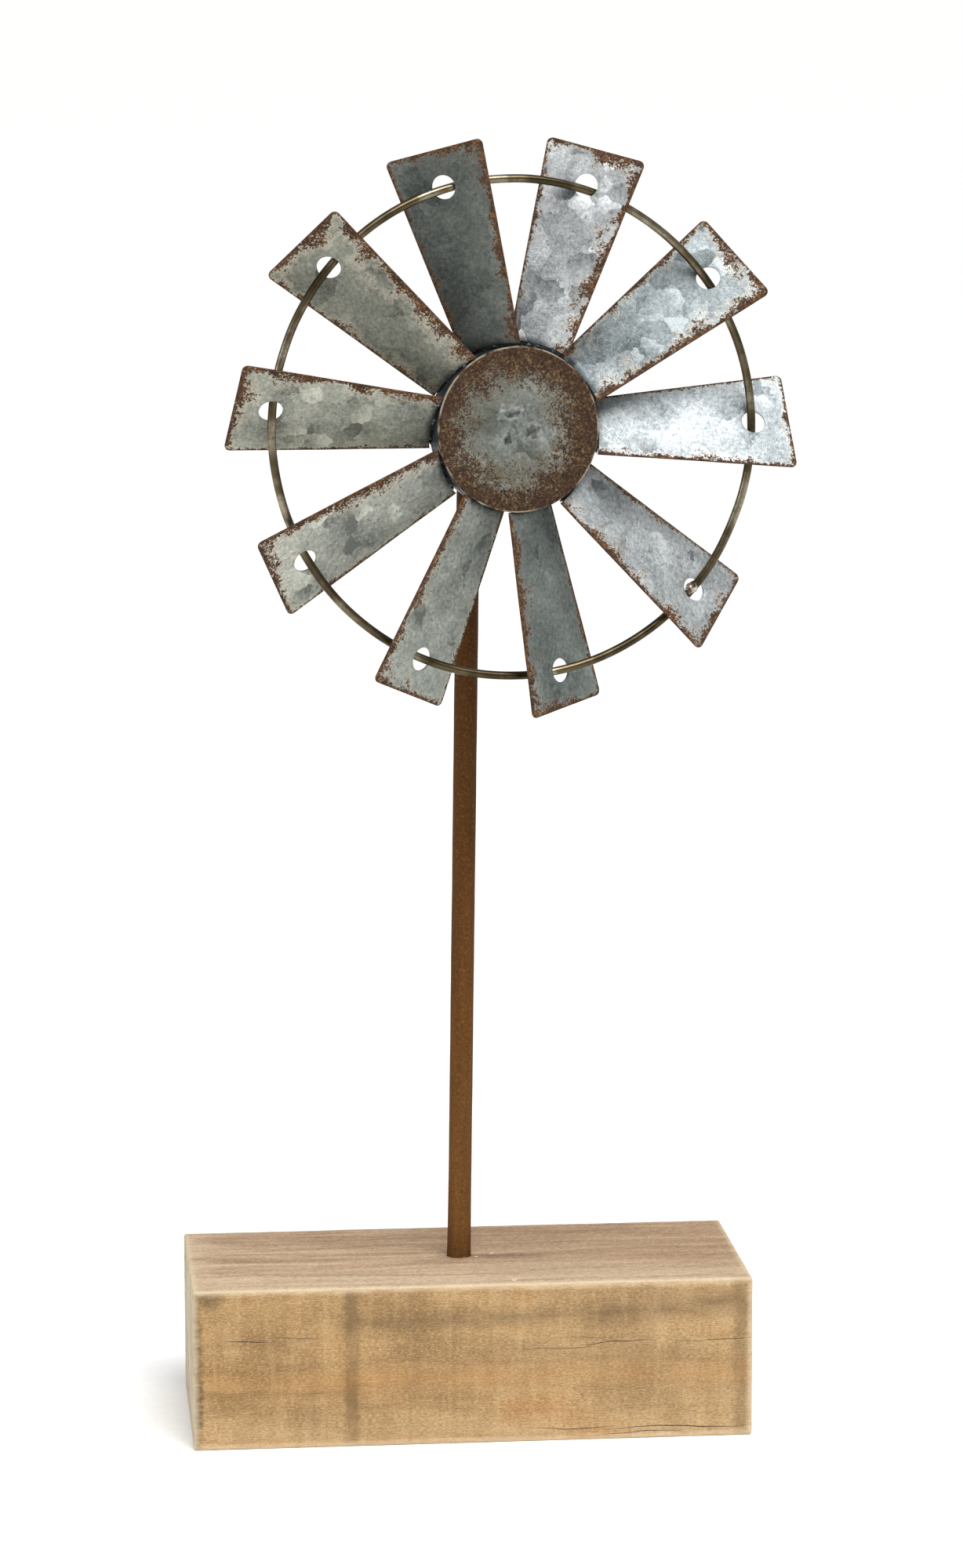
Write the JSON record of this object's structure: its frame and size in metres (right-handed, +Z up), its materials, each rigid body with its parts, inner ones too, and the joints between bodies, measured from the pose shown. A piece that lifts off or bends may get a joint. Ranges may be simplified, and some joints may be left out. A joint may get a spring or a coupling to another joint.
{
  "type": "garden windmill",
  "caption": "Tabletop garden windmill: a wheel of pitched sheet-steel blades on a wire rim spins on an axle at the top of a rod that stands in a block of wood.",
  "frame": {"origin": "the middle of the wooden block's underside", "axes": "+Z up along the rod, -Y out of the block's long front face, the side the wheel stands on, +X to the right as seen from the front"},
  "size_m": [0.1621, 0.0982, 0.3534],
  "materials": {
    "weathered_pine": "sawn and lightly sanded softwood with grey stain marks and pale worn edges, unvarnished",
    "brown_paint": "matt rust-brown paint on steel rod",
    "rust_edged_galvanised_sheet": "galvanised sheet with large zinc spangle, rust-brown speckle along the cut edges",
    "galvanised_sheet": "dull blue-grey galvanised sheet",
    "rusted_galvanised_sheet": "galvanised sheet with a broad speckled rust-brown border and a bare grey middle",
    "zinc_plated_steel": "dull zinc-plated fastener steel",
    "aged_brass_wire": "drawn wire with an olive-brown aged brass tone",
    "weld_metal": "lumpy bright weld bead with brown heat stains"
  },
  "bodies": {
    "stand": {"base_block": "weathered_pine", "post": "brown_paint", "bearing_tube": "brown_paint", "tube_weld": "brown_paint"},
    "wheel": {"axle": "zinc_plated_steel", "front_washer": "zinc_plated_steel", "rear_washer": "zinc_plated_steel", "axle_nut": "zinc_plated_steel", "hub_face": "rusted_galvanised_sheet", "hub_drum": "galvanised_sheet", "blade_01": "rust_edged_galvanised_sheet", "blade_02": "rust_edged_galvanised_sheet", "blade_03": "rust_edged_galvanised_sheet", "blade_04": "rust_edged_galvanised_sheet", "blade_05": "rust_edged_galvanised_sheet", "blade_06": "rust_edged_galvanised_sheet", "blade_07": "rust_edged_galvanised_sheet", "blade_08": "rust_edged_galvanised_sheet", "blade_09": "rust_edged_galvanised_sheet", "blade_10": "rust_edged_galvanised_sheet", "rim_ring": "aged_brass_wire", "rim_weld": "weld_metal"}
  },
  "joints": [
    {"name": "wheel_spin", "type": "hinge", "parent": "stand", "child": "wheel", "pos_m": [0.01013, -0.04543, 0.27791], "axis": [0.1684, -0.9854, 0.0262], "continuous": true}
  ]
}
